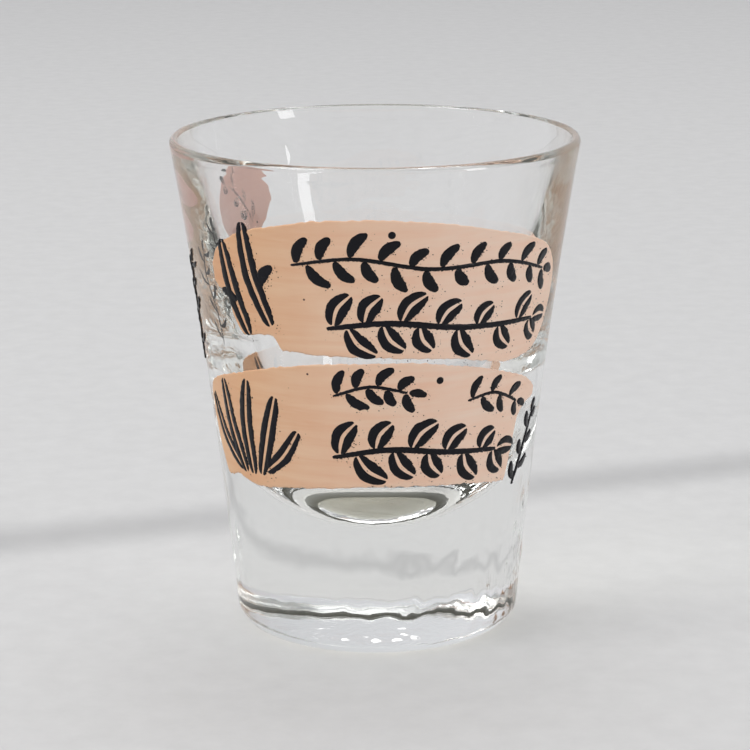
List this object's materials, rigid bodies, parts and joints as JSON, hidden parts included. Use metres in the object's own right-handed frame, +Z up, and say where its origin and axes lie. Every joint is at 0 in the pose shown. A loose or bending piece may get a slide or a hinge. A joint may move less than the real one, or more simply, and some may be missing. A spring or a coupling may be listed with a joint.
{
  "type": "shot glass",
  "caption": "Thick-based clear shot glass with a flared wall, rounded lip and round bowl, printed with brushed peach enamel panels and black brush leaves.",
  "frame": {"origin": "middle of the foot, on the surface that the glass stands on", "axes": "+Z up along the glass's axis, towards the mouth; -Y towards the middle of the printed front; +X to the right of the front"},
  "size_m": [0.0468, 0.0468, 0.0573],
  "materials": {
    "clear_glass": "clear pressed soda-lime glass, fire-polished lip",
    "peach_enamel": "fired enamel, satin",
    "pink_enamel": "fired enamel, thin, satin",
    "black_enamel": "fired enamel, thick, glossy with rough edges"
  },
  "bodies": {
    "root": {"back_leaf_01": "black_enamel", "back_leaf_02": "black_enamel", "back_leaf_03": "black_enamel", "back_leaf_04": "black_enamel", "back_pink_patch": "pink_enamel", "edge_blade": "black_enamel", "edge_leaf": "black_enamel", "fan_blade_1": "black_enamel", "fan_blade_2": "black_enamel", "fan_blade_3": "black_enamel", "fan_blade_4": "black_enamel", "fan_blade_5": "black_enamel", "glass_body": "clear_glass", "lower_bold_arch_high": "black_enamel", "lower_bold_arch_low": "black_enamel", "lower_bold_leaf_01": "black_enamel", "lower_bold_leaf_02": "black_enamel", "lower_bold_leaf_03": "black_enamel", "lower_bold_leaf_04": "black_enamel", "lower_peach_panel": "peach_enamel", "lower_spray_berry": "black_enamel", "lower_spray_leaf_01": "black_enamel", "lower_spray_leaf_02": "black_enamel", "lower_spray_leaf_03": "black_enamel", "lower_spray_leaf_04": "black_enamel", "lower_spray_leaf_05": "black_enamel", "lower_spray_tip_01": "black_enamel", "lower_spray_tip_02": "black_enamel", "lower_spray_tip_03": "black_enamel", "lower_spray_tip_04": "black_enamel", "side_berry": "black_enamel", "side_leaf_lower": "black_enamel", "side_leaf_upper": "black_enamel", "side_stem_left": "black_enamel", "side_stem_right": "black_enamel", "tall_blade_bud": "black_enamel", "tall_blade_cross_leaf": "black_enamel", "tall_blade_inner": "black_enamel", "tall_blade_outer": "black_enamel", "upper_bold_arch_high": "black_enamel", "upper_bold_arch_low": "black_enamel", "upper_bold_leaf_01": "black_enamel", "upper_bold_leaf_02": "black_enamel", "upper_bold_leaf_03": "black_enamel", "upper_bold_leaf_04": "black_enamel", "upper_bold_leaf_05": "black_enamel", "upper_peach_panel": "peach_enamel", "upper_spray_berry": "black_enamel", "upper_spray_leaf_01": "black_enamel", "upper_spray_leaf_02": "black_enamel", "upper_spray_leaf_03": "black_enamel", "upper_spray_leaf_04": "black_enamel", "upper_spray_leaf_05": "black_enamel", "upper_spray_leaf_06": "black_enamel", "upper_spray_leaf_07": "black_enamel", "upper_spray_leaf_08": "black_enamel", "upper_spray_leaf_09": "black_enamel", "upper_spray_leaf_10": "black_enamel", "upper_spray_leaf_11": "black_enamel"}
  },
  "joints": []
}
